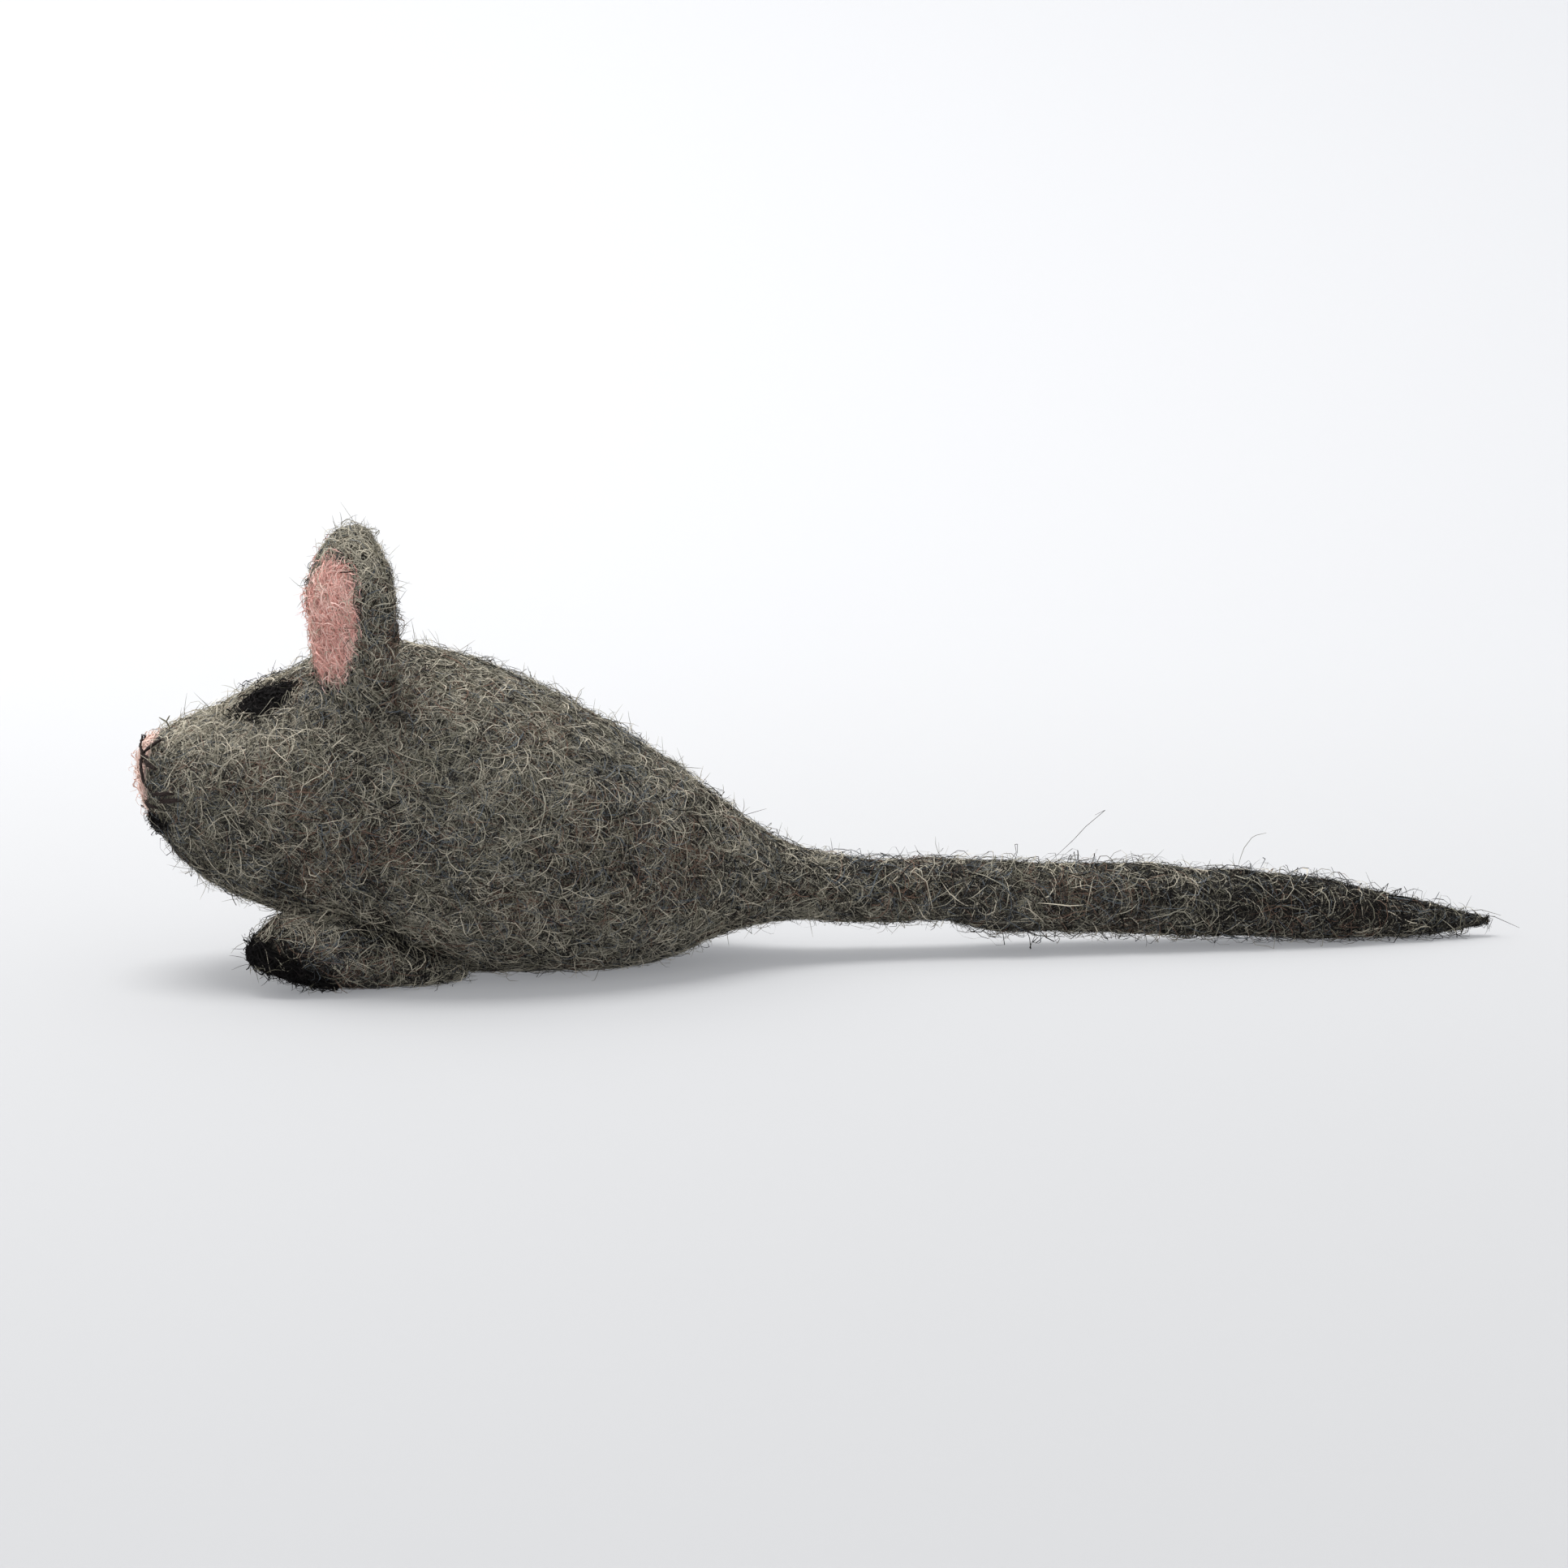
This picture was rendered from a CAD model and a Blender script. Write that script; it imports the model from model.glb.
"""A needle-felted wool mouse: felt skins with needle pits, and the wool fibres that lie on them.

Lengths in this script are in millimetres of the row frame (nose towards -X, left side towards -Y)
and are turned into metres where a mesh or light is made.
"""

import math

import bpy
import numpy as np
from mathutils import Matrix, Vector, noise
from mathutils.bvhtree import BVHTree

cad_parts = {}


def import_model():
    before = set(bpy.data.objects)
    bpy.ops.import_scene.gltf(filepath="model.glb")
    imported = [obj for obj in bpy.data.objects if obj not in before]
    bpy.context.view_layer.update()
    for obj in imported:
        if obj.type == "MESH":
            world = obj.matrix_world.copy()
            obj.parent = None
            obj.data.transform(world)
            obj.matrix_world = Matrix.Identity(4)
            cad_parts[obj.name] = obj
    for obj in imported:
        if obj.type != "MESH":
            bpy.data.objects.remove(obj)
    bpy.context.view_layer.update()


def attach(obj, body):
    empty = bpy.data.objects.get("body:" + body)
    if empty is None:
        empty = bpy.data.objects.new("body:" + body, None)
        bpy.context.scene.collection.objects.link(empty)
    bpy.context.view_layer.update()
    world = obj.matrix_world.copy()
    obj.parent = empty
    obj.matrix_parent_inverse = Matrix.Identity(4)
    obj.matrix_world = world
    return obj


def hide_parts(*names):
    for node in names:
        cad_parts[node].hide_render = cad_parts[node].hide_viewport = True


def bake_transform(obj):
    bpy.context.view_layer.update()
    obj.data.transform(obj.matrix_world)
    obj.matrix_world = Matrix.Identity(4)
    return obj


MM = 0.001
SIDES = {"left": -1, "right": 1}

# Head and body: distance along X, height of the back, height of the belly, half width.
BODY = [
    (-79.7, 24.8, 20.6, 1.2),
    (-79.4, 26.4, 19.2, 3.4),
    (-78.7, 27.4, 17.6, 5.3),
    (-77.4, 28.1, 15.9, 7.0),
    (-75.4, 28.9, 13.6, 8.5),
    (-72.0, 30.4, 10.6, 10.7),
    (-65.5, 33.6, 7.5, 13.6),
    (-58.5, 36.3, 4.8, 16.1),
    (-51.0, 37.5, 1.7, 18.1),
    (-43.0, 35.9, -0.3, 18.7),
    (-35.0, 32.6, -0.9, 18.0),
    (-27.0, 28.3, -0.7, 15.6),
    (-20.0, 23.7, 0.5, 12.2),
    (-14.0, 19.1, 3.2, 8.4),
    (-10.0, 15.9, 4.2, 6.1),
    (-6.0, 13.6, 4.5, 4.8),
    (-3.0, 12.4, 4.4, 4.1),
]
# The tail: distance along X, height of its middle, radius.
TAIL = [
    (1.0, 7.9, 3.7),
    (5.0, 7.6, 3.45),
    (12.0, 7.6, 3.45),
    (20.0, 6.5, 3.95),
    (28.0, 6.2, 3.85),
    (36.0, 5.8, 3.95),
    (44.0, 5.2, 3.85),
    (52.0, 4.7, 3.7),
    (60.0, 3.9, 3.45),
    (64.0, 3.3, 2.95),
    (68.0, 2.8, 2.4),
    (72.0, 2.5, 1.9),
    (76.0, 2.2, 1.25),
    (79.5, 1.9, 0.6),
    (81.0, 1.8, 0.2),
]
# A foot in its own frame: distance behind the toe, height of its top, of its sole, half width.
FOOT = [
    (0.0, 5.0, 4.0, 0.4),
    (1.0, 6.5, 3.2, 1.6),
    (2.6, 7.9, 2.5, 2.7),
    (5.0, 8.9, 1.5, 3.6),
    (8.0, 9.0, 0.5, 4.3),
    (12.0, 8.1, 0.0, 4.7),
    (15.0, 6.7, -0.2, 4.6),
    (18.5, 4.8, -0.2, 3.9),
    (21.5, 3.2, 0.0, 2.8),
    (24.5, 1.8, 0.4, 1.3),
]
# An ear from its root up: height, half width, half thickness.
EAR = [
    (-3.4, 7.0, 3.9),
    (-1.0, 6.5, 3.3),
    (1.5, 6.6, 3.0),
    (5.0, 7.2, 2.9),
    (8.5, 7.5, 2.9),
    (11.5, 6.9, 2.7),
    (14.0, 5.4, 2.2),
    (15.8, 3.6, 1.6),
    (16.8, 2.0, 1.0),
    (17.2, 0.3, 0.2),
]
EAR_ROOT = (-55.3, 9.0, 34.0)
EAR_YAW = 32.0
EAR_LEAN = 20.0
EAR_CUP = 0.020  # how far the ear's rims come forward, per square millimetre

LINING_HALF = (6.1, 8.7)
LINING_RISE = 7.8  # of the lining's middle above the ear's root
LINING_SHIFT = 1.3  # of the lining towards the middle of the head
LINING_TILT = 16.0

FOOT_Y = 12.3
TOE_X = {"left": -68.4, "right": -64.4}
TOE_OUT = 8.0

# Where the felt starts and stops following a part that bends.
TAIL_BEND = ((-15.0, 0.0, 9.7), (3.0, 0.0, 8.0))

# Wool shades, linear.
SHADES = {
    "cream": (0.56, 0.51, 0.41),
    "pale": (0.33, 0.31, 0.25),
    "olive": (0.170, 0.161, 0.121),
    "slate": (0.115, 0.130, 0.143),
    "umber": (0.160, 0.104, 0.078),
    "dark": (0.038, 0.035, 0.031),
    "black": (0.007, 0.0065, 0.0065),
    "soot": (0.014, 0.012, 0.012),
    "rose": (0.84, 0.49, 0.43),
    "blush": (0.93, 0.67, 0.60),
    "deep_rose": (0.62, 0.31, 0.27),
    "nose": (0.72, 0.52, 0.45),
    "nose_pale": (0.85, 0.68, 0.60),
    "thread": (0.035, 0.026, 0.024),
}
GREYS = ["cream", "pale", "olive", "slate", "umber", "dark", "black"]

# Matted wool under the fibres, linear: dark, middle, light.
GREY_FELT = ((0.008, 0.0075, 0.0068), (0.032, 0.030, 0.025), (0.095, 0.088, 0.070))
GREY_FELT_PATCH = (0.038, 0.040, 0.043)
PINK_FELT = ((0.46, 0.24, 0.21), (0.64, 0.38, 0.34), (0.78, 0.53, 0.47))
NOSE_FELT = ((0.50, 0.35, 0.31), (0.66, 0.49, 0.43), (0.80, 0.64, 0.57))
BLACK_FELT = ((0.003, 0.003, 0.003), (0.006, 0.0055, 0.0055), (0.012, 0.011, 0.0105))

# Places on the head that dyed tufts cover: middle, half sizes.
BARE = [
    ((-66.0, -5.9, 32.2), (3.7, 3.0, 2.6)),
    ((-66.0, 5.9, 32.2), (3.7, 3.0, 2.6)),
    ((-79.7, 0.0, 23.2), (1.6, 3.7, 4.6)),
    ((-78.0, 0.0, 17.8), (3.2, 7.2, 1.2)),
]

CAMERA_FIELD = 30.0
CAMERA_AZIMUTH = -8.0
CAMERA_ELEVATION = 8.5
CAMERA_TARGET = (-6.25, 0.0, 20.6)
VIEW_WIDTH = 184.0  # of what the camera sees at the target

rng = np.random.default_rng(20)


# ---------------------------------------------------------------- small tools


def smooth_curve(knots, at):
    """Columns of the knots, interpolated along their first column without overshoot."""
    knots = np.array(knots, float)
    x = knots[:, 0]
    widths = np.diff(x)[:, None]
    slopes = np.diff(knots[:, 1:], axis=0) / widths
    tangents = np.zeros_like(knots[:, 1:])
    before, after = slopes[:-1], slopes[1:]
    same_way = before * after > 0
    harmonic = 2 * before * after / np.where(same_way, before + after, 1)
    tangents[1:-1] = np.where(same_way, harmonic, 0)
    tangents[0], tangents[-1] = slopes[0], slopes[-1]
    k = np.clip(np.searchsorted(x, at, side="right") - 1, 0, len(x) - 2)
    w = (x[k + 1] - x[k])[:, None]
    s = ((at - x[k]) / (x[k + 1] - x[k]))[:, None]
    y0, y1 = knots[k, 1:], knots[k + 1, 1:]
    m0, m1 = tangents[k] * w, tangents[k + 1] * w
    return (
        (2 * s**3 - 3 * s**2 + 1) * y0
        + (s**3 - 2 * s**2 + s) * m0
        + (-2 * s**3 + 3 * s**2) * y1
        + (s**3 - s**2) * m1
    )


def unit(v):
    return v / np.maximum(np.linalg.norm(v, axis=-1, keepdims=True), 1e-9)


def smoothstep(edge0, edge1, x):
    t = np.clip((x - edge0) / (edge1 - edge0), 0, 1)
    return t * t * (3 - 2 * t)


def noise_at(points, scale, seed):
    """Smooth noise between about -1 and 1 at points in millimetres."""
    offset = Vector((seed * 17.3, seed * 5.1, seed * 9.7))
    return np.array([noise.noise(Vector(p) / scale + offset) for p in points])


def pits_at(points, pitch, seed):
    """0 between needle pits, up to 1 in the middle of one."""
    offset = Vector((seed * 3.7, seed * 11.9, seed * 7.3))
    nearest = np.array([noise.voronoi(Vector(p) / pitch + offset)[0][0] for p in points])
    return 1 - smoothstep(0.0, 0.45, nearest)


def mesh_object(name, points, faces):
    """A smooth mesh of points in millimetres."""
    data = bpy.data.meshes.new(name)
    data.from_pydata((np.asarray(points) * MM).tolist(), [], faces)
    data.update()
    data.polygons.foreach_set("use_smooth", [True] * len(data.polygons))
    made = bpy.data.objects.new(name, data)
    bpy.context.collection.objects.link(made)
    return made


def points_of(obj):
    flat = np.empty(len(obj.data.vertices) * 3)
    obj.data.vertices.foreach_get("co", flat)
    return flat.reshape(-1, 3) / MM


def normals_of(obj):
    flat = np.empty(len(obj.data.vertices) * 3)
    obj.data.vertices.foreach_get("normal", flat)
    return flat.reshape(-1, 3)


def move_points(obj, points):
    obj.data.vertices.foreach_set("co", (points * MM).ravel())
    obj.data.update()


def tree_of(obj):
    """A search tree of the mesh, in millimetres."""
    return BVHTree.FromPolygons(points_of(obj).tolist(), [tuple(p.vertices) for p in obj.data.polygons])


# ---------------------------------------------------------------- felt forms


def tube_faces(rows, around):
    """Faces of a closed tube whose points go round each row in turn."""
    faces = []
    for r in range(rows - 1):
        for c in range(around):
            d = (c + 1) % around
            faces.append((r * around + c, r * around + d, (r + 1) * around + d, (r + 1) * around + c))
    faces.append(tuple(reversed(range(around))))
    faces.append(tuple((rows - 1) * around + c for c in range(around)))
    return faces


def roll(name, knots, spacing, around):
    """A roll of wool along X through rows (x, back, belly, half width)."""
    x = np.array([k[0] for k in knots])
    at = np.arange(x[0], x[-1], spacing)
    at = np.append(at, x[-1])
    back, belly, half = smooth_curve(knots, at).T
    angle = np.linspace(0, 2 * math.pi, around, endpoint=False)
    y = half[:, None] * np.sin(angle)
    z = ((back + belly) / 2)[:, None] + ((back - belly) / 2)[:, None] * np.cos(angle)
    points = np.stack([np.repeat(at[:, None], around, 1), y, z], -1).reshape(-1, 3)
    return mesh_object(name, points, tube_faces(len(at), around))


def foot_matrix(side):
    sign = SIDES[side]
    return Matrix.Translation((TOE_X[side] * MM, sign * FOOT_Y * MM, 0)) @ Matrix.Rotation(
        math.radians(-sign * TOE_OUT), 4, "Z"
    )


def joined(objects, name):
    with bpy.context.temp_override(active_object=objects[0], selected_editable_objects=objects):
        bpy.ops.object.join()
    objects[0].name = name
    return objects[0]


def remeshed(obj, voxel):
    """The union of everything in the object as one even skin."""
    modifier = obj.modifiers.new("union", "REMESH")
    modifier.mode = "VOXEL"
    modifier.voxel_size = voxel * MM
    modifier.use_smooth_shade = True
    graph = bpy.context.evaluated_depsgraph_get()
    fresh = bpy.data.meshes.new_from_object(obj.evaluated_get(graph))
    obj.modifiers.clear()
    obj.data = fresh
    return obj


def relax(obj, rounds):
    """Evens out the skin."""
    points = points_of(obj)
    edges = np.empty(len(obj.data.edges) * 2, int)
    obj.data.edges.foreach_get("vertices", edges)
    edges = edges.reshape(-1, 2)
    ends = np.concatenate([edges, edges[:, ::-1]])
    count = np.bincount(ends[:, 0], minlength=len(points))[:, None]
    for _ in range(rounds):
        total = np.zeros_like(points)
        for axis in range(3):
            total[:, axis] = np.bincount(ends[:, 0], points[ends[:, 1], axis], len(points))
        points += 0.6 * (total / np.maximum(count, 1) - points)
    move_points(obj, points)


def felted(obj, lumps, pits, seed, floor=False):
    """Pushes the skin in and out the way needling does: broad lumps and small pits."""
    points, normals = points_of(obj), normals_of(obj)
    rise = lumps * noise_at(points, 7.0, seed) + 0.4 * lumps * noise_at(points, 2.6, seed + 1)
    rise += 0.05 * noise_at(points, 0.8, seed + 2) - pits * pits_at(points, 1.55, seed + 3)
    points = points + normals * rise[:, None]
    if floor:
        z = points[:, 2] - 0.12
        points[:, 2] = 0.12 + 0.5 * (z + np.sqrt(z * z + 0.25))
    move_points(obj, points)


def grey_skin():
    """Body, feet and tail as one felt skin."""
    tail = [(x, m + r, m - r, r) for x, m, r in TAIL]
    parts = [roll("body", BODY + tail, 0.5, 128)]
    for side in SIDES:
        foot = roll(f"{side}_foot_roll", FOOT, 0.6, 48)
        foot.data.transform(foot_matrix(side))
        parts.append(foot)
    skin = remeshed(joined(parts, "coat_and_tail_felt"), 0.42)
    relax(skin, 2)
    felted(skin, 0.30, 0.20, 1, floor=True)
    return skin


def ear_matrix(side):
    sign = SIDES[side]
    x, y, z = EAR_ROOT
    place = Matrix.Translation((x * MM, sign * y * MM, z * MM))
    lean = Matrix.Rotation(math.radians(-sign * EAR_LEAN), 4, "X")
    turn = Matrix.Rotation(math.radians(-90 - sign * EAR_YAW), 4, "Z")
    return place @ lean @ turn


def ear_skin(side):
    """A thick pad whose rims come a little forward; its root spreads into the head."""
    rows, around = 74, 96
    height = np.linspace(EAR[0][0], EAR[-1][0], rows)
    half, thick = smooth_curve(EAR, height).T
    angle = np.linspace(0, 2 * math.pi, around, endpoint=False)
    x = half[:, None] * np.sign(np.sin(angle)) * np.abs(np.sin(angle)) ** 0.9
    y = -thick[:, None] * np.cos(angle) - EAR_CUP * x**2
    points = np.stack([x, y, np.repeat(height[:, None], around, 1)], -1).reshape(-1, 3)
    skin = mesh_object(f"{side}_ear_felt", points, tube_faces(rows, around))
    skin.data.transform(ear_matrix(side))
    skin.data.update()
    fix_winding(skin)
    felted(skin, 0.25, 0.16, 11 + SIDES[side])
    return skin


def fix_winding(obj):
    """Turns the faces outwards."""
    points, normals = points_of(obj), normals_of(obj)
    if np.sum((points - points.mean(0)) * normals) < 0:
        obj.data.flip_normals()
        obj.data.update()


def patch(name, tree, inside, outward, up, half_u, half_v, rise, ragged, seed, spread_out=True):
    """A pad of dyed wool needled onto a skin: an oval drawn on it.

    With spread_out the oval is drawn from a point inside the form, so it wraps round it; without,
    it is drawn straight back at the point from in front.
    """
    rings, around = 22, 64
    outward = Vector(outward).normalized()
    side = Vector(up).cross(outward).normalized()
    up = outward.cross(side)
    inside = Vector(inside)
    centre = tree.ray_cast(inside, outward)[0] if spread_out else inside

    def spot_at(u, v):
        aim = centre + side * u + up * v
        if spread_out:
            found = tree.ray_cast(inside, (aim - inside).normalized())
        else:
            found = tree.ray_cast(aim + outward * 15, -outward)
        return found if found[0] is not None else tree.find_nearest(aim)

    rho = np.linspace(0, 1, rings)[1:]
    angle = np.linspace(0, 2 * math.pi, around, endpoint=False)
    edge = 1 + ragged * np.array(
        [noise.noise(Vector((2.2 * math.cos(a), 2.2 * math.sin(a), seed * 3.1))) for a in angle]
    )
    spot, normal = spot_at(0, 0)[:2]
    points = [spot + normal * rise]
    for r in rho:
        height = rise * (1 - r**3) - 0.25 * r**3
        for a, stretch in zip(angle, edge):
            spot, normal = spot_at(half_u * r * stretch * math.cos(a), half_v * r * stretch * math.sin(a))[:2]
            if normal.dot(outward) < 0 and not spread_out:
                normal = outward
            points.append(spot + normal * height)
    faces = [(0, 1 + c, 1 + (c + 1) % around) for c in range(around)]
    for r in range(len(rho) - 1):
        for c in range(around):
            a, b = 1 + r * around + c, 1 + r * around + (c + 1) % around
            faces.append((a, a + around, b + around, b))
    made = mesh_object(name, points, faces)
    if np.sum(normals_of(made) @ np.array(outward)) < 0:
        made.data.flip_normals()
        made.data.update()
    return made


# ---------------------------------------------------------------- fibres


def seeds_on(obj, count, weight=None):
    """Random places on a mesh, by area: points, normals. weight favours some places."""
    data = obj.data
    data.calc_loop_triangles()
    corners = np.empty(len(data.loop_triangles) * 3, int)
    data.loop_triangles.foreach_get("vertices", corners)
    corners = corners.reshape(-1, 3)
    points, normals = points_of(obj), normals_of(obj)
    a, b, c = (points[corners[:, k]] for k in range(3))
    area = np.linalg.norm(np.cross(b - a, c - a), axis=1)
    if weight is not None:
        area = area * weight((a + b + c) / 3, unit(np.cross(b - a, c - a)))
    pick = rng.choice(len(area), count, p=area / area.sum())
    s, t = rng.random(count), rng.random(count)
    flip = s + t > 1
    s[flip], t[flip] = 1 - s[flip], 1 - t[flip]
    place = a[pick] + s[:, None] * (b - a)[pick] + t[:, None] * (c - a)[pick]
    return place, unit(normals[corners[pick]].mean(1))


def lay(tree, place, normal, grain, spread, length, bend, lift, steps):
    """Fibres that creep over a skin. Gives their points and the skin's normals there."""
    count = len(place)
    grain = np.broadcast_to(np.asarray(grain, float), (count, 3))
    along = unit(grain - np.sum(grain * normal, 1, keepdims=True) * normal)
    turn = rng.normal(0, 1, count) * spread
    along = unit(np.cos(turn)[:, None] * along + np.sin(turn)[:, None] * np.cross(normal, along))
    step = (length / steps)[:, None]
    curve = rng.normal(0, 1, count) * bend / steps
    start_height = rng.uniform(-0.12, 0.10, count)
    rise = np.abs(rng.normal(0, 1, count)) * lift * np.where(rng.random(count) < 0.16, 4.0, 1.0)
    points, normals = [], []
    spot = place
    for k in range(steps + 1):
        arch = math.sin(math.pi * k / steps)
        points.append(spot + normal * (start_height + rise * arch)[:, None])
        normals.append(normal)
        if k == steps:
            break
        angle = curve + rng.normal(0, 0.35, count) / steps * 2
        along = unit(np.cos(angle)[:, None] * along + np.sin(angle)[:, None] * np.cross(normal, along))
        spot = spot + along * step
        normal = normal.copy()
        for i in range(count):
            spot[i], normal[i] = tree.find_nearest(spot[i])[:2]
        along = unit(along - np.sum(along * normal, 1, keepdims=True) * normal)
    return np.stack(points, 1), np.stack(normals, 1)


def loose(place, normal, grain, length, rise, steps):
    """Fibres that stand off the skin in loops and hooks."""
    count = len(place)
    grain = np.broadcast_to(np.asarray(grain, float), (count, 3))
    side = unit(np.cross(normal, rng.normal(size=(count, 3))))
    along = unit(side + 0.7 * grain * rng.choice([-1, 1], (count, 1)))
    heading = unit(along + normal * rise[:, None])
    axis = unit(np.cross(along, normal) + 0.5 * rng.normal(size=(count, 3)))
    step = (length / steps)[:, None]
    turn = rng.normal(1.6, 1.1, count) / steps
    points = [place - normal * 0.15]
    spot = points[0]
    for _ in range(steps):
        angle = turn + rng.normal(0, 0.10, count)
        heading = unit(heading * np.cos(angle)[:, None] - np.cross(axis, heading) * np.sin(angle)[:, None])
        spot = spot + heading * step
        points.append(spot)
    made = np.stack(points, 1)
    made[..., 2] = np.maximum(made[..., 2], 0.06)
    return made


def ribbons(points, normals, width, tips=0.35):
    """Flat hairs, each with a twist of its own: vertices and quads."""
    count, rows = points.shape[:2]
    along = unit(np.gradient(points, axis=1))
    across = unit(np.cross(along, normals))
    up = np.cross(across, along)
    twist = rng.uniform(-1.0, 1.0, (count, 1, 1))
    side = np.cos(twist) * across + np.sin(twist) * up
    taper = np.sin(np.linspace(tips, math.pi - tips, rows))[None, :, None]
    half = width[:, None, None] / 2 * taper * side
    vertices = np.stack([points - half, points + half], 2).reshape(-1, 3)
    base = (np.arange(count)[:, None] * rows + np.arange(rows - 1)[None, :]) * 2
    quads = np.stack([base, base + 1, base + 3, base + 2], -1).reshape(-1, 4)
    return vertices, quads, rows - 1


def threads(points, radius, tips=0.3):
    """Three-sided hairs: vertices and quads."""
    count, rows = points.shape[:2]
    along = unit(np.gradient(points, axis=1))
    helper = unit(np.cross(along, np.array([0.31, 0.52, 0.79])))
    other = np.cross(along, helper)
    taper = np.sin(np.linspace(tips, math.pi - tips, rows))[None, :, None]
    corners = []
    for a in (0, 2 * math.pi / 3, 4 * math.pi / 3):
        ray = math.cos(a) * helper + math.sin(a) * other
        corners.append(points + ray * radius[:, None, None] * taper)
    vertices = np.stack(corners, 2).reshape(-1, 3)
    base = (np.arange(count)[:, None] * rows + np.arange(rows - 1)[None, :]) * 3
    quads = []
    for k in range(3):
        m = (k + 1) % 3
        quads.append(np.stack([base + k, base + m, base + 3 + m, base + 3 + k], -1))
    return vertices, np.stack(quads, 2).reshape(-1, 4), (rows - 1) * 3


def hair_object(name, made, shade, palette):
    """One mesh of many hairs; shade is each hair's place in the palette."""
    vertices, quads, per_hair = made
    data = bpy.data.meshes.new(name)
    data.vertices.add(len(vertices))
    data.vertices.foreach_set("co", (vertices * MM).ravel())
    data.loops.add(quads.size)
    data.loops.foreach_set("vertex_index", quads.ravel())
    data.polygons.add(len(quads))
    data.polygons.foreach_set("loop_start", np.arange(0, quads.size, 4))
    data.polygons.foreach_set("material_index", np.repeat(shade, per_hair))
    data.polygons.foreach_set("use_smooth", [True] * len(quads))
    data.update()
    data.validate()
    for wool in palette:
        data.materials.append(wool_hair(wool))
    made = bpy.data.objects.new(name, data)
    bpy.context.collection.objects.link(made)
    return made


def grey_mix(place, normal):
    """Picks a shade from GREYS for each place: the wool is patchy on several scales."""
    x, z = place[:, 0], place[:, 2]
    blue = noise_at(place, 9.0, 31) + 0.5 * noise_at(place, 3.5, 32)
    brown = noise_at(place, 7.0, 33) + 0.5 * noise_at(place, 3.0, 34)
    murk = noise_at(place, 5.0, 35) + 0.6 * noise_at(place, 1.8, 36)
    fleck = noise_at(place * (0.6, 1, 1), 0.75, 37)
    up = np.clip(normal[:, 2], 0, 1)
    snout = smoothstep(-58, -76, x) * up
    under = np.clip(-normal[:, 2], 0, 1) * smoothstep(14, 4, z)
    tail = smoothstep(-12, 22, x)
    end = smoothstep(20, 66, x)
    low = smoothstep(22, 9, z) * (1 - tail)
    rear = smoothstep(-44, -26, x) * (1 - tail)
    bright, dim = np.clip(fleck, 0, 1), np.clip(-fleck, 0, 1)
    by_shade = {
        "cream": 0.07 + 0.22 * up + 0.55 * snout - 0.06 * tail + 0.25 * under + 0.15 * bright + 0.07 * low,
        "pale": 0.22 + 0.26 * up + 0.18 * snout - 0.17 * tail + 0.85 * under + 0.55 * bright - 0.10 * end,
        "olive": np.full(len(x), 0.22),
        "slate": 0.13 + 0.95 * np.clip(blue - 0.1, 0, 1) + 0.05 * tail,
        "umber": 0.05 + 1.10 * np.clip(brown - 0.1, 0, 1),
        "dark": 0.14 + 1.00 * np.clip(murk - 0.1, 0, 1) + 0.30 * tail + 1.00 * dim + 0.45 * end,
        "black": (
            0.07 + 0.75 * np.clip(murk - 0.2, 0, 1) + 0.15 * tail + 0.50 * np.clip(-fleck - 0.1, 0, 1)
            + 1.00 * end + 0.08 * low + 0.10 * rear
        ),
    }
    weights = np.stack([by_shade[shade] for shade in GREYS], 1)
    weights = np.clip(weights, 0.005, None)
    steps = np.cumsum(weights / weights.sum(1, keepdims=True), 1)
    return np.minimum((rng.random(len(place))[:, None] > steps).sum(1), len(GREYS) - 1)


def toe_reach(height):
    """How far behind the tip the black wool runs: further along the sole."""
    return np.clip(2.3 + 1.5 * (6.3 - height), 0.9, 11)


def foot_local(side, place):
    """Distance behind the toe, sideways and up, in the foot's own frame."""
    local = foot_matrix(side).inverted()
    return (place @ np.array(local.to_3x3()).T + np.array(local.translation) / MM).T


def near_feet(place, further=0.0):
    """How black the wool is: 1 at a toe's tip, 0 elsewhere; further moves the edge back."""
    black = np.zeros(len(place))
    for side in SIDES:
        behind, across, height = foot_local(side, place)
        on_foot = (np.abs(across) < 6) & (height < 9.5) & (behind < 15)
        reach = toe_reach(height) + further
        black = np.maximum(black, on_foot * smoothstep(reach + 1.2, reach - 1.2, behind))
    return black


def in_crease(place):
    """1 in the fold where the side of a foot meets the belly."""
    dark = np.zeros(len(place))
    for side, sign in SIDES.items():
        behind, across, height = foot_local(side, place)
        top, sole, _ = smooth_curve(FOOT, np.clip(behind, 0, 24)).T
        fold = sole + 0.88 * (top - sole)
        near = smoothstep(1.2, 0.5, np.abs(height - fold)) * (sign * across > 0.5)
        dark = np.maximum(dark, near * smoothstep(8.0, 11.0, behind) * smoothstep(21.5, 18.5, behind))
    return dark


# ---------------------------------------------------------------- materials


def new_material(name):
    made = bpy.data.materials.new(name)
    made.use_nodes = True
    return made, made.node_tree.nodes, made.node_tree.links


def wool_hair(shade):
    """One plain shade of wool fibre."""
    name = f"hair_{shade}"
    if name in bpy.data.materials:
        return bpy.data.materials[name]
    made, nodes, _ = new_material(name)
    surface = nodes["Principled BSDF"]
    surface.inputs["Base Color"].default_value = (*SHADES[shade], 1)
    surface.inputs["Roughness"].default_value = 0.85
    surface.inputs["Specular IOR Level"].default_value = 0.08
    return made


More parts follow.
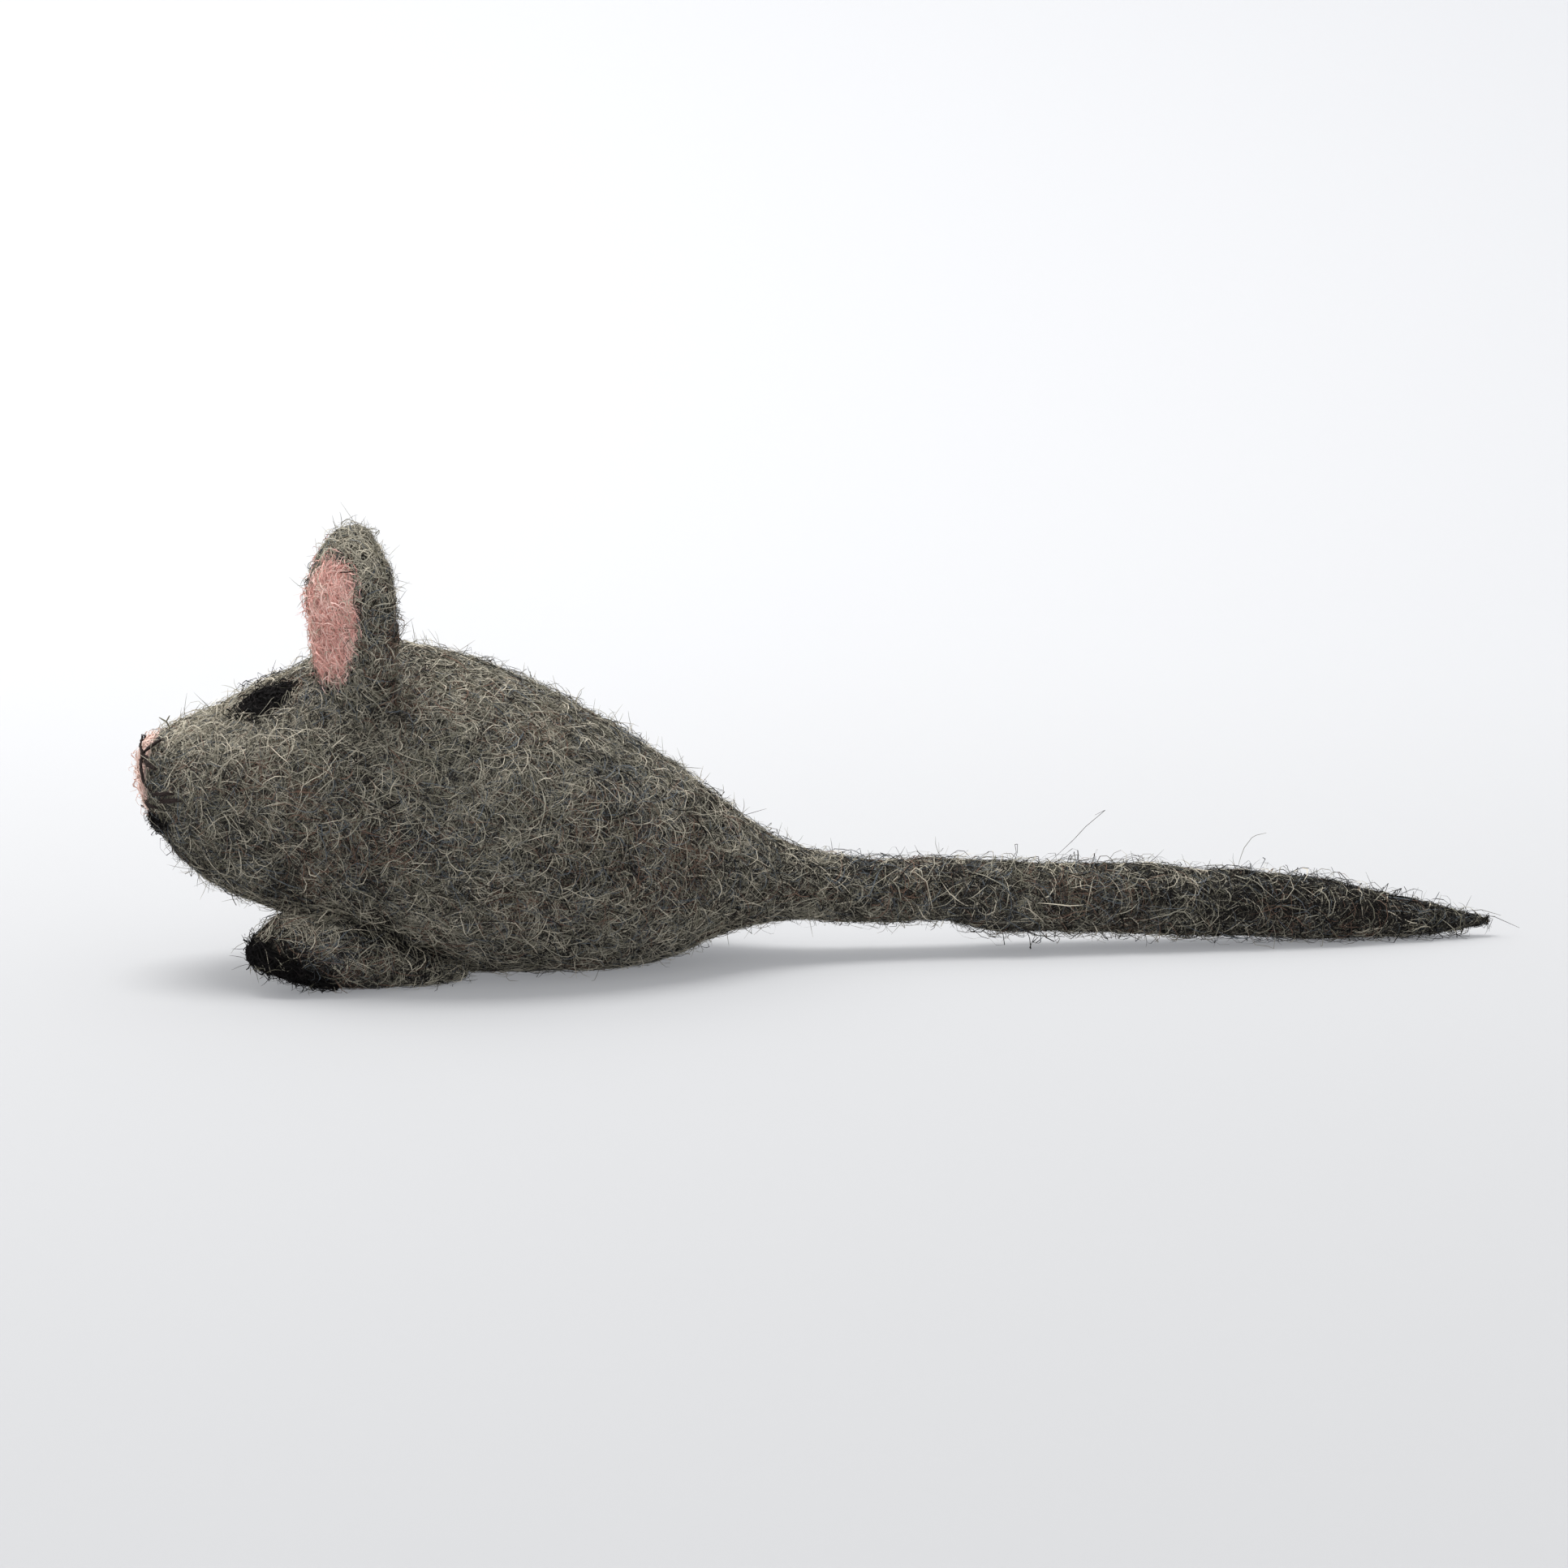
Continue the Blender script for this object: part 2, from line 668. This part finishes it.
def felt_material(name, dark, middle, light, patch_colour=None):
    """Matted wool under the loose fibres: streaky shades on two scales."""
    made, nodes, links = new_material(name)
    surface = nodes["Principled BSDF"]
    surface.inputs["Specular IOR Level"].default_value = 0.03
    place = nodes.new("ShaderNodeTexCoord")
    fine = nodes.new("ShaderNodeTexNoise")
    fine.inputs["Scale"].default_value = 900.0
    fine.inputs["Detail"].default_value = 3.0
    fine.inputs["Distortion"].default_value = 1.2
    ramp = nodes.new("ShaderNodeValToRGB")
    ramp.color_ramp.elements[0].position = 0.36
    ramp.color_ramp.elements[0].color = (*dark, 1)
    ramp.color_ramp.elements[1].position = 0.64
    ramp.color_ramp.elements[1].color = (*light, 1)
    half_way = ramp.color_ramp.elements.new(0.5)
    half_way.color = (*middle, 1)
    links.new(place.outputs["Object"], fine.inputs["Vector"])
    links.new(fine.outputs["Fac"], ramp.inputs["Fac"])
    colour = ramp.outputs["Color"]
    if patch_colour is not None:
        broad = nodes.new("ShaderNodeTexNoise")
        broad.inputs["Scale"].default_value = 170.0
        broad.inputs["Detail"].default_value = 2.0
        share = nodes.new("ShaderNodeValToRGB")
        share.color_ramp.elements[0].position = 0.46
        share.color_ramp.elements[0].color = (0, 0, 0, 1)
        share.color_ramp.elements[1].position = 0.62
        share.color_ramp.elements[1].color = (0.75, 0.75, 0.75, 1)
        mix = nodes.new("ShaderNodeMix")
        mix.data_type = "RGBA"
        mix_in = {s.identifier: s for s in mix.inputs}
        mix_in["B_Color"].default_value = (*patch_colour, 1)
        links.new(place.outputs["Object"], broad.inputs["Vector"])
        links.new(broad.outputs["Fac"], share.inputs["Fac"])
        links.new(share.outputs["Color"], mix_in["Factor_Float"])
        links.new(colour, mix_in["A_Color"])
        colour = next(s for s in mix.outputs if s.identifier == "Result_Color")
    links.new(colour, surface.inputs["Base Color"])
    dull = nodes.new("ShaderNodeMapRange")
    dull.inputs["To Min"].default_value = 0.82
    dull.inputs["To Max"].default_value = 1.0
    links.new(fine.outputs["Fac"], dull.inputs["Value"])
    links.new(dull.outputs["Result"], surface.inputs["Roughness"])
    nap = nodes.new("ShaderNodeBump")
    nap.inputs["Strength"].default_value = 0.5
    nap.inputs["Distance"].default_value = 0.0002
    links.new(fine.outputs["Fac"], nap.inputs["Height"])
    links.new(nap.outputs["Normal"], surface.inputs["Normal"])
    return made


def plain_material(name, colour, roughness):
    made, nodes, _ = new_material(name)
    surface = nodes["Principled BSDF"]
    surface.inputs["Base Color"].default_value = (*colour, 1)
    surface.inputs["Roughness"].default_value = roughness
    surface.inputs["Specular IOR Level"].default_value = 0.2
    return made


# ---------------------------------------------------------------- the mouse


def fibre_coat(
    name, skin, count, grain, spread, length, width, lift, mix, palette, pieces=1, weight=None, bend=2.6
):
    """Fibres all over a skin, in a few pieces.

    grain is the way they mostly run, spread how far they turn from it, lift how far they rise off the
    skin; mix gives each one its place in the palette; weight favours some places; bend is their curl.
    """
    tree = tree_of(skin)
    made = []
    for k in range(pieces):
        place, normal = seeds_on(skin, count // pieces, weight)
        reach = rng.uniform(*length, len(place))
        points, normals = lay(tree, place, normal, grain, spread, reach, bend, lift, 5)
        points[..., 2] = np.maximum(points[..., 2], 0.05)
        coarse = np.where(rng.random(len(place)) < 0.3, 1.6, 1.0)
        hairs = ribbons(points, normals, rng.uniform(*width, len(place)) * coarse)
        made.append(hair_object(f"{name}_{k + 1}", hairs, mix(place, normal), palette))
    return made


def fly_away(name, skin, count, grain, length, rise, radius, shares, palette, weight=None):
    """Fibres that stand off a skin; shares are the palette's parts of them."""
    place, normal = seeds_on(skin, count, weight)
    reach = rng.uniform(*length, count) * rng.uniform(0.5, 1, count)
    points = loose(place, normal, grain, reach, rng.uniform(*rise, count), 5)
    hairs = threads(points, rng.uniform(*radius, count))
    return hair_object(name, hairs, rng.choice(len(palette), count, p=shares), palette)


def by_shares(shares):
    """A mix that ignores the place."""
    return lambda place, normal: rng.choice(len(shares), len(place), p=shares)


def off_tufts(place, reach):
    """0 on the dyed tufts, 1 away from them; reach makes the bare places larger."""
    clear = np.ones(len(place))
    for spot, radii in BARE:
        away = np.linalg.norm((place - spot) / radii, axis=1) / reach
        clear = clear * smoothstep(0.8, 1.1, away)
    return clear


def build_coat():
    skin = grey_skin()
    skin.data.materials.clear()
    skin.data.materials.append(felt_material("grey_felt", *GREY_FELT, GREY_FELT_PATCH))
    tree = tree_of(skin)

    def mix(place, normal):
        shade = grey_mix(place, normal)
        black = near_feet(place)
        chance = rng.random(len(place))
        dusk = rng.random(len(place)) < 0.45 * near_feet(place, 3.5)
        shade[dusk] = rng.choice([GREYS.index("umber"), GREYS.index("dark")], dusk.sum())
        shade[chance < np.maximum(black * 1.3, 0.9 * in_crease(place))] = GREYS.index("black")
        return shade

    def on_body(place, normal):
        clear = smoothstep(6, -4, place[:, 0]) * (0.25 + 0.75 * smoothstep(-0.95, -0.6, normal[:, 2]))
        return clear * off_tufts(place, 1.0)

    def fuzzy(place, normal):
        return on_body(place, normal) * off_tufts(place, 1.45) * (1 - near_feet(place))

    def on_snout(place, normal):
        top = smoothstep(-54, -68, place[:, 0]) * smoothstep(0.4, 0.85, normal[:, 2])
        return top * off_tufts(place, 2.1)

    def on_tail(place, normal):
        return smoothstep(-6, 4, place[:, 0])

    hairs = fibre_coat(
        "coat_fibres", skin, 90000, grain=(1, 0, 0.15), spread=0.75, length=(2.2, 6.0), width=(0.036, 0.08),
        lift=0.12, mix=mix, palette=GREYS, pieces=5, weight=on_body, bend=2.1,
    )
    hairs += fibre_coat(
        "tail_fibres", skin, 26000, grain=(1, 0, 0), spread=0.55, length=(2.5, 7.0), width=(0.04, 0.09),
        lift=0.18, mix=mix, palette=GREYS, pieces=2, weight=on_tail,
    )
    fuzz = ["cream", "pale", "olive", "dark"]
    for k in (1, 2):
        loose_hairs = fly_away(
            f"coat_fly_away_{k}", skin, 6000, grain=(0.3, 0, 0), length=(1.0, 5.0), rise=(0.1, 1.0),
            radius=(0.026, 0.042), shares=[0.22, 0.33, 0.25, 0.2], palette=fuzz, weight=fuzzy,
        )
        hairs.append(loose_hairs)
    loose_hairs = fly_away(
        "tail_fly_away", skin, 4500, grain=(0.9, 0, 0), length=(1.0, 5.0), rise=(0.0, 0.4),
        radius=(0.022, 0.036), shares=[0.0, 0.12, 0.38, 0.5], palette=fuzz, weight=on_tail,
    )
    hairs.append(loose_hairs)
    hairs += fibre_coat(
        "snout_fibres", skin, 2600, grain=(1, 0, 0.35), spread=0.28, length=(3.0, 7.0), width=(0.04, 0.08),
        lift=0.14, mix=by_shares([0.55, 0.35, 0.1]), palette=["cream", "pale", "olive"], weight=on_snout,
    )
    for piece in [skin, *hairs]:
        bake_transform(piece)
    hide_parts("body_coat", "core_wool", "tail", "left_foot", "right_foot")
    return tree


def build_ear(side):
    skin = ear_skin(side)
    skin.data.materials.append(bpy.data.materials["grey_felt"])
    place = ear_matrix(side)
    rotation = place.to_3x3()
    root = Vector(np.array(place.translation) / MM)
    up, face = rotation @ Vector((0, 0, 1)), rotation @ Vector((0, -1, 0))
    inner = up.cross(face) * SIDES[side]
    middle = root + up * LINING_RISE + inner * LINING_SHIFT
    slant = math.radians(LINING_TILT)
    top = up * math.cos(slant) - inner * math.sin(slant)
    lining = patch(
        f"{side}_ear_lining_felt", tree_of(skin), middle, face, top, *LINING_HALF, rise=0.32, ragged=0.06,
        seed=4 + SIDES[side], spread_out=False,
    )
    lining.data.materials.append(bpy.data.materials["pink_felt"])

    def bare(place, normal):
        return off_lining(side, place)

    hairs = fibre_coat(
        f"{side}_ear_fibres", skin, 9000, grain=tuple(up), spread=0.9, length=(1.8, 4.5), width=(0.045, 0.09),
        lift=0.12, mix=ear_mix(side), palette=GREYS, weight=bare,
    )
    hairs += fibre_coat(
        f"{side}_ear_lining_fibres", lining, 4200, grain=tuple(up), spread=0.9, length=(1.5, 4.0),
        width=(0.045, 0.09), lift=0.12, mix=by_shares([0.45, 0.3, 0.17, 0.08]),
        palette=["rose", "blush", "deep_rose", "cream"],
    )
    fuzz = fly_away(
        f"{side}_ear_fly_away", skin, 2600, grain=tuple(up), length=(1.0, 4.0), rise=(0.1, 0.9),
        radius=(0.026, 0.042), shares=[0.4, 0.35, 0.25], palette=["cream", "pale", "olive"], weight=bare,
    )
    pink_fuzz = fly_away(
        f"{side}_ear_lining_fly_away", lining, 900, grain=tuple(up), length=(0.8, 3.0), rise=(0.1, 0.8),
        radius=(0.026, 0.04), shares=[0.4, 0.6], palette=["rose", "blush"],
    )
    for piece in [skin, lining, *hairs, fuzz, pink_fuzz]:
        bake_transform(piece)
    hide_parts(f"{side}_ear")
    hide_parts(f"{side}_ear_lining")


def ear_local(side, place):
    matrix = ear_matrix(side)
    return (place - np.array(matrix.translation) / MM) @ np.array(matrix.to_3x3())


def off_lining(side, place):
    """Fewer grey fibres where the lining covers the ear's face."""
    x, y, z = ear_local(side, place).T
    slant = math.radians(LINING_TILT)
    across, height = SIDES[side] * x - LINING_SHIFT, z - LINING_RISE
    u = across * math.cos(slant) + height * math.sin(slant)
    v = height * math.cos(slant) - across * math.sin(slant)
    inside = ((u / LINING_HALF[0]) ** 2 + (v / LINING_HALF[1]) ** 2 < 0.88) & (y < -0.5)
    return np.where(inside, 0.02, 1.0)


def ear_mix(side):
    def mix(place, normal):
        shade = grey_mix(place, normal)
        x, y, z = ear_local(side, place).T
        rim = smoothstep(11.5, 16.0, z) * 0.5 + 0.12 * (y < -0.3)
        pale = rng.random(len(place)) < rim
        shade[pale] = rng.choice([0, 1], pale.sum())
        return shade

    return mix


def tuft(name, node, tree, inside, outward, up, half, rise, count, length, material, palette, shares, slot):
    """A patch of dyed wool with its own short fibres."""
    pad = patch(name, tree, inside, outward, up, *half, rise, ragged=0.16, seed=len(name))
    pad.data.materials.append(bpy.data.materials[material])
    hairs = fibre_coat(
        f"{name}_fibres", pad, count, grain=tuple(up), spread=1.4, length=length, width=(0.07, 0.12),
        lift=0.12, mix=by_shares(shares), palette=palette,
    )
    fuzz = fly_away(
        f"{name}_fly_away", pad, max(40, count // 10), grain=tuple(up), length=(0.8, 2.2), rise=(0.1, 0.8),
        radius=(0.028, 0.042), shares=shares, palette=palette,
    )
    for piece in [pad, *hairs, fuzz]:
        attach(piece, "mouse")
    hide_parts(node)


def build_face(tree):
    black = {
        "material": "black_felt", "palette": ["black", "soot"], "shares": [0.7, 0.3], "slot": "black_wool",
    }
    lean = math.radians(25)
    for side, sign in SIDES.items():
        tuft(
            f"{side}_eye_felt", f"{side}_eye", tree, inside=(-61.7, 0, 20.0),
            outward=(-0.31, sign * math.sin(lean), math.cos(lean)), up=(0.35, sign * 0.9, -0.3),
            half=(4.1, 3.2), rise=0.35, count=1700, length=(1.0, 2.6), **black,
        )
    tuft(
        "nose_felt", "nose_pad", tree, inside=(-70.0, 0, 23.2), outward=(-1, 0, 0.03), up=(0, 0, 1),
        half=(4.9, 6.0), rise=0.65, count=900, length=(1.0, 2.6), material="nose_felt_wool",
        palette=["nose", "nose_pale", "blush"], shares=[0.45, 0.35, 0.2], slot="pink_wool",
    )
    tuft(
        "mouth_felt", "mouth_patch", tree, inside=(-71.0, 0, 20.5), outward=(-1, 0, -0.34), up=(0, 0, 1),
        half=(13.0, 2.0), rise=0.25, count=900, length=(0.8, 2.2), **black,
    )


def only_used(points, faces):
    """The points that the faces use, and the faces counted over them."""
    used = sorted({v for face in faces for v in face})
    place = {v: k for k, v in enumerate(used)}
    return points[used], [tuple(place[v] for v in face) for face in faces]


def toe_skin(side):
    """A slightly larger copy of the foot's front, cut where the black wool ends."""
    whole = roll(f"{side}_toe_felt", [(x, t + 0.1, b - 0.1, w + 0.1) for x, t, b, w in FOOT[:7]], 0.4, 48)
    points = points_of(whole)
    behind, _, height = points.T
    keep = behind < toe_reach(height) - 0.6
    sides = [tuple(f.vertices) for f in whole.data.polygons if len(f.vertices) == 4]
    bpy.data.objects.remove(whole)
    toe = mesh_object(f"{side}_toe_felt", *only_used(points, [f for f in sides if keep[list(f)].all()]))
    toe.data.transform(foot_matrix(side))
    toe.data.update()
    fix_winding(toe)
    felted(toe, 0.2, 0.15, 51 + SIDES[side], floor=True)
    toe.data.materials.append(bpy.data.materials["black_felt"])
    return toe


def build_toes():
    for side in SIDES:
        toe = toe_skin(side)
        hairs = fibre_coat(
            f"{side}_toe_fibres", toe, 1500, grain=(1, 0, 0), spread=0.7, length=(1.5, 4.0),
            width=(0.07, 0.12), lift=0.14, mix=by_shares([0.8, 0.18, 0.02]), palette=["black", "soot", "pale"],
        )
        fuzz = fly_away(
            f"{side}_toe_fly_away", toe, 420, grain=(-1, 0, 0), length=(1.0, 3.4), rise=(0.1, 1.0),
            radius=(0.028, 0.045), shares=[0.85, 0.15], palette=["black", "olive"],
        )
        for piece in [toe, *hairs, fuzz]:
            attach(piece, "mouse")
        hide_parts(f"{side}_toe_cap")


# Dark strands on the left of the snout, as points beside it (x, y, z).
STRANDS = {
    "nose_strands": [
        [
            (-80.8, -1.6, 28.4),
            (-80.4, -2.6, 27.3),
            (-79.8, -3.7, 26.2),
            (-79.9, -4.4, 24.7),
            (-79.6, -5.2, 23.2),
            (-78.9, -6.8, 22.2),
        ],
        [(-77.5, -4.4, 28.2), (-78.7, -4.2, 27.3), (-79.8, -3.7, 26.2)],
        [(-79.8, -3.7, 26.2), (-79.2, -5.4, 25.2), (-78.2, -6.7, 24.7)],
    ],
    "upper_whisker": [[(-78.5, -7.3, 22.0), (-76.2, -9.0, 22.3)]],
    "lower_whisker": [[(-77.7, -8.0, 21.3), (-75.3, -9.6, 21.7)]],
    "lip_strand": [[(-79.4, -5.9, 21.0), (-78.1, -7.4, 20.5)]],
}
# Single stray fibres: shade, radius, points beside the wool.
STRAYS = [
    ("cream", 0.10, [(-58.4, -15.6, 28.0), (-56.8, -15.2, 29.3)]),
    ("olive", 0.12, [(-76.6, -1.5, 28.6), (-77.0, -1.5, 29.4), (-77.8, -1.4, 29.9)]),
    ("olive", 0.10, [(-77.0, -1.5, 29.4), (-76.6, -1.3, 30.1)]),
    (
        "dark",
        0.04,
        [(25.0, -1.0, 10.2), (28.4, -1.2, 13.4), (29.8, -1.2, 14.9), (32.2, -1.0, 16.8), (31.0, -0.8, 16.2)],
    ),
    ("olive", 0.04, [(48.6, -0.5, 8.6), (49.4, -0.6, 11.6), (50.6, -0.6, 13.2), (52.3, -0.4, 13.5)]),
    ("dark", 0.045, [(78.0, 0.0, 2.9), (81.5, -0.2, 2.4), (84.6, -0.6, 1.0)]),
    ("olive", 0.045, [(77.0, 0.2, 3.0), (80.0, 0.4, 3.2), (82.6, 0.5, 2.4)]),
]


def drawn_route(tree, route, lift):
    """A smooth path on the skin through the places nearest to the route's points."""
    route = np.array(route, float)
    legs = np.linalg.norm(np.diff(route, axis=0), axis=1)
    run = np.concatenate([[0], np.cumsum(legs)])
    at = np.linspace(0, run[-1], 3 + int(run[-1] * 4))
    path = smooth_curve(np.column_stack([run, route]), at)
    made = []
    for k, point in enumerate(path):
        near = tree.find_nearest(point)[0]
        outward = (Vector(point) - near).normalized()
        end = min(k, len(path) - 1 - k) / 2
        made.append(near + outward * (lift * min(1, 0.6 + end)))
    return np.array([tuple(p) for p in made])


def build_strands():
    """Each strand is a few thin threads side by side, on the coat and the nose."""
    nose = bpy.data.objects["nose_felt"]
    coat = bpy.data.objects["coat_and_tail_felt"]
    points = np.concatenate([points_of(coat), points_of(nose)])
    shift = len(coat.data.vertices)
    faces = [tuple(p.vertices) for p in coat.data.polygons]
    faces += [tuple(v + shift for v in p.vertices) for p in nose.data.polygons]
    tree = BVHTree.FromPolygons(points.tolist(), faces)
    for side, sign in SIDES.items():
        for name, routes in STRANDS.items():
            lift = 0.62 if name == "nose_strands" else 0.95
            vertices, quads = [], []
            for route in routes:
                path = drawn_route(tree, [(x, -y * sign, z) for x, y, z in route], lift)
                for radius in (0.21, 0.14, 0.14, 0.14, 0.14):
                    stray = path + rng.normal(0, 0.08, 3) + rng.normal(0, 0.04, path.shape)
                    more, corners, _ = threads(stray[None], np.array([radius]))
                    quads.append(corners + sum(len(v) for v in vertices))
                    vertices.append(more)
            quads = np.concatenate(quads)
            made = (np.concatenate(vertices), quads, len(quads))
            strand = hair_object(f"{side}_{name}_wool", made, np.array([0]), ["thread"])
            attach(strand, "mouse")
            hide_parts(f"{side}_{name}")


def build_strays():
    for k, (shade, radius, points) in enumerate(STRAYS):
        points = np.array(points)
        at = np.linspace(0, len(points) - 1, 9)
        path = np.stack([np.interp(at, range(len(points)), points[:, axis]) for axis in range(3)], 1)
        made = threads(path[None], np.array([radius]), 0.5)
        stray = hair_object(f"stray_fibre_{k + 1}", made, np.array([0]), [shade])
        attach(stray, "tail" if points[0][0] > TAIL_BEND[1][0] else "mouse")


# ---------------------------------------------------------------- camera, floor and light


def lit_from_behind(paper):
    """Light through the paper, stronger up the sweep."""
    nodes, links = paper.node_tree.nodes, paper.node_tree.links
    surface = nodes["Principled BSDF"]
    place = nodes.new("ShaderNodeTexCoord")
    axes = nodes.new("ShaderNodeSeparateXYZ")
    way = nodes.new("ShaderNodeMath")
    glow = nodes.new("ShaderNodeMapRange")
    for name, value in {"From Min": -0.2, "From Max": 1.0, "To Min": 0.19, "To Max": 0.45}.items():
        glow.inputs[name].default_value = value
    links.new(place.outputs["Object"], axes.inputs["Vector"])
    links.new(axes.outputs["Y"], way.inputs[0])
    links.new(axes.outputs["Z"], way.inputs[1])
    links.new(way.outputs["Value"], glow.inputs["Value"])
    links.new(glow.outputs["Result"], surface.inputs["Emission Strength"])
    surface.inputs["Emission Color"].default_value = (0.93, 0.95, 1.0, 1)


def build_stage():
    """A white paper floor that sweeps up behind the mouse."""
    front, back, bend, top, half = -3000.0, 420.0, 260.0, 1500.0, 3000.0
    profile = [(front, 0.0), (back, 0.0)]
    for k in range(1, 25):
        a = math.radians(90 * k / 24)
        profile.append((back + bend * math.sin(a), bend * (1 - math.cos(a))))
    profile.append((back + bend, top))
    points = [(x, y, z) for y, z in profile for x in (-half, half)]
    faces = [(2 * k, 2 * k + 1, 2 * k + 3, 2 * k + 2) for k in range(len(profile) - 1)]
    paper = mesh_object("paper", points, faces)
    white = plain_material("paper_white", (0.33, 0.33, 0.332), 0.9)
    lit_from_behind(white)
    paper.data.materials.append(white)


def area_light(name, place, target, size, power, colour):
    data = bpy.data.lights.new(name, "AREA")
    data.shape = "DISK"
    data.size = size * MM
    data.energy = power
    data.color = colour
    lamp = bpy.data.objects.new(name, data)
    bpy.context.collection.objects.link(lamp)
    lamp.location = Vector(place) * MM
    lamp.rotation_mode = "QUATERNION"
    lamp.rotation_quaternion = (Vector(target) - Vector(place)).to_track_quat("-Z", "Y")


def build_light():
    world = bpy.data.worlds.new("daylight")
    bpy.context.scene.world = world
    world.use_nodes = True
    world.node_tree.nodes["Background"].inputs["Color"].default_value = (0.98, 0.99, 1.0, 1)
    world.node_tree.nodes["Background"].inputs["Strength"].default_value = 0.84
    area_light("window", (-420, 260, 620), (-20, 0, 10), 620, 2.0, (1.0, 0.985, 0.96))
    area_light("backdrop", (-200, 150, 1100), (0, 680, 420), 700, 14.0, (1.0, 1.0, 1.0))


def build_camera():
    data = bpy.data.cameras.new("camera")
    data.sensor_width = 36.0
    half = math.radians(CAMERA_FIELD / 2)
    data.lens = data.sensor_width / 2 / math.tan(half)
    data.clip_start, data.clip_end = 0.01, 20.0
    camera = bpy.data.objects.new("camera", data)
    bpy.context.collection.objects.link(camera)
    a, e = math.radians(CAMERA_AZIMUTH), math.radians(CAMERA_ELEVATION)
    back = Vector((math.sin(a) * math.cos(e), -math.cos(a) * math.cos(e), math.sin(e)))
    camera.location = (Vector(CAMERA_TARGET) + back * (VIEW_WIDTH / 2 / math.tan(half))) * MM
    camera.rotation_mode = "QUATERNION"
    camera.rotation_quaternion = (-back).to_track_quat("-Z", "Y")
    bpy.context.scene.camera = camera


def main():
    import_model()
    felt_material("pink_felt", *PINK_FELT)
    felt_material("nose_felt_wool", *NOSE_FELT)
    felt_material("black_felt", *BLACK_FELT)
    tree = build_coat()
    for side in SIDES:
        build_ear(side)
    build_face(tree)
    build_toes()
    build_strands()
    build_strays()
    build_stage()
    build_light()
    build_camera()
    bpy.context.scene.view_settings.view_transform = "Standard"


main()
